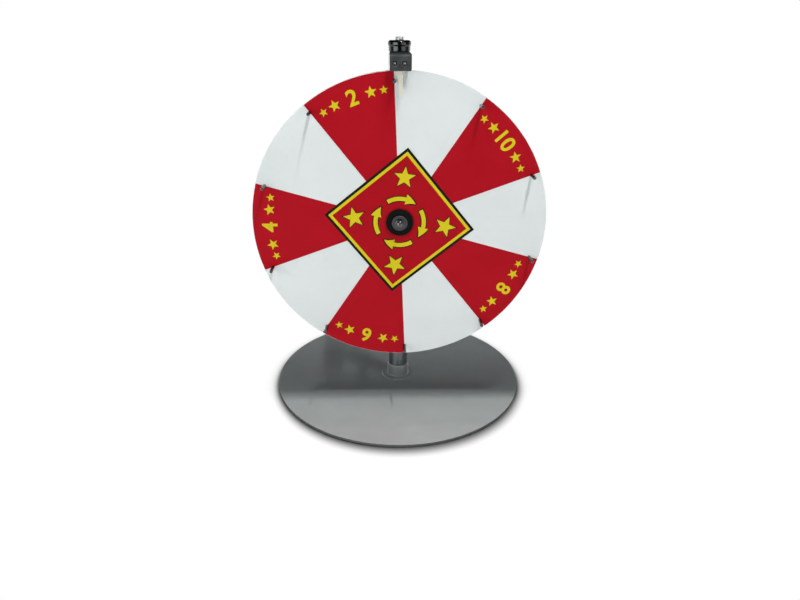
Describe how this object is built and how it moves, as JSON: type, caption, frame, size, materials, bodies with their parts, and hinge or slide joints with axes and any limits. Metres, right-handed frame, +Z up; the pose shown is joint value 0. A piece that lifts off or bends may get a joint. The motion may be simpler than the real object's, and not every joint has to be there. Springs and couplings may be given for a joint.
{
  "type": "carnival game wheel",
  "caption": "Tabletop prize wheel: a round board in red and white sectors spins on a ball-bearing hub that stands out from a post on a round base, and pegs on its face flick a flexible pointer.",
  "frame": {"origin": "on the table, under the middle of the base plate and the axis of the post", "axes": "+Z up along the post, +X to the right as the player sees the wheel, -Y towards the player, along the axle"},
  "size_m": [0.4499, 0.432, 0.595],
  "materials": {
    "silver_paint": "satin silver-grey powder coat on steel",
    "foot_rubber": "matte black",
    "satin_steel": "turned or brushed, satin",
    "zinc_steel": "bright zinc plate",
    "polished_chrome": "polished chrome plate on steel",
    "black_acetal": "turned, satin black",
    "bearing_steel": "ground and polished",
    "white_board": "foamed plastic board, satin white",
    "red_film": "satin red self-adhesive film",
    "label_film": "printed self-adhesive film",
    "dark_steel": "plain dark steel",
    "natural_nylon": "uncoloured nylon strip"
  },
  "bodies": {
    "stand": {"base_plate": "silver_paint", "rubber_feet": "foot_rubber", "post_socket": "satin_steel", "socket_bolts": "zinc_steel", "socket_screw": "zinc_steel", "post": "satin_steel", "post_plug": "zinc_steel", "flapper_arm": "polished_chrome", "post_cap": "polished_chrome", "cap_screw": "polished_chrome", "clamp_plate": "satin_steel", "clamp_screws": "polished_chrome", "clamp_nuts": "zinc_steel", "axle_bolt": "zinc_steel", "rear_saddle": "black_acetal", "rear_washer": "zinc_steel", "standoff_tube": "satin_steel", "inner_races": "bearing_steel", "race_spacer": "zinc_steel", "front_shim": "zinc_steel", "front_washer": "dark_steel", "dome_nut": "polished_chrome"},
    "wheel": {"wheel_board": "white_board", "red_sectors": "red_film", "centre_label": "label_film", "pegs": "dark_steel", "hub": "black_acetal", "back_plate": "satin_steel", "hub_screws": "zinc_steel", "outer_races": "bearing_steel", "bearing_balls": "bearing_steel"},
    "flapper": {"flapper": "natural_nylon"}
  },
  "joints": [
    {"name": "wheel_spin", "type": "hinge", "parent": "stand", "child": "wheel", "pos_m": [0, -0.09625, 0.326], "axis": [0, -1, 0], "continuous": true},
    {"name": "flapper_flick", "type": "hinge", "parent": "stand", "child": "flapper", "pos_m": [-0.0015, -0.11238, 0.5425], "axis": [0, -1, 0], "range_deg": [-60, 60], "stiffness_Nm_per_rad": 0.01, "deforming": ["flapper"]}
  ]
}
